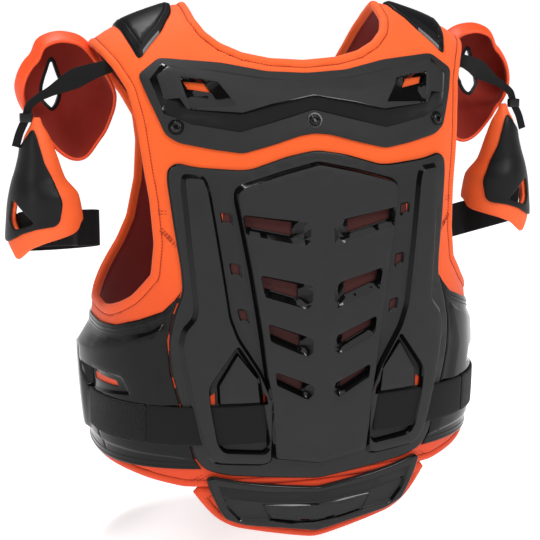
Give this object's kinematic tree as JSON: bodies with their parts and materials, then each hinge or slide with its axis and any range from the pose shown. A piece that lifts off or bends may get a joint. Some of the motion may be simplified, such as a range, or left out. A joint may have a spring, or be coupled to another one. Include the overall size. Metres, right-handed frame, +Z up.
{
  "type": "roost deflector",
  "caption": "Padded motocross vest with hard back plates, side wings, shoulder cups and arm guards hung on webbing.",
  "frame": {"origin": "midway between the shoulder straps, level with the top of the shoulders beside the neck, where the wearer's shoulders carry the vest", "axes": "+Z up, the wearer's back faces -Y, the wearer's right arm is on +X"},
  "size_m": [0.5878, 0.2643, 0.5332],
  "materials": {
    "vest_fabric": "knitted cover on foam",
    "plate_plastic": "fine moulded texture",
    "wing_gloss": "high gloss",
    "webbing": "woven webbing",
    "loop_patch": "loop pile",
    "shoulder_rubber": "satin",
    "cup_foam": "moulded foam",
    "guard_face": "satin",
    "guard_pad": "moulded foam",
    "bolt": "satin"
  },
  "bodies": {
    "root": {"back_pad": "vest_fabric", "front_pad": "vest_fabric", "shoulder_strap_right": "vest_fabric", "shoulder_strap_left": "vest_fabric", "waist_panel_right": "vest_fabric", "waist_panel_left": "vest_fabric", "tail_pad": "vest_fabric", "upper_back_plate": "plate_plastic", "main_back_plate": "plate_plastic", "tail_plate": "plate_plastic", "chest_plate": "plate_plastic", "plate_bolt_left": "bolt", "plate_bolt_centre": "bolt", "plate_bolt_right": "bolt", "side_wing_right": "wing_gloss", "side_wing_left": "wing_gloss", "waist_strap_right": "webbing", "waist_strap_left": "webbing", "loop_patch_right": "loop_patch", "loop_patch_left": "loop_patch", "shoulder_pad_right": "shoulder_rubber", "shoulder_pad_left": "shoulder_rubber", "shoulder_cup_right": "cup_foam", "shoulder_cup_left": "cup_foam", "bicep_pad_right": "guard_pad", "bicep_pad_left": "guard_pad", "bicep_guard_right": "guard_face", "bicep_guard_left": "guard_face", "bicep_band_right": "webbing", "bicep_band_left": "webbing", "cup_strap_right": "webbing", "cup_strap_left": "webbing", "strap_keeper_right": "guard_face", "strap_keeper_left": "guard_face"}
  },
  "joints": []
}
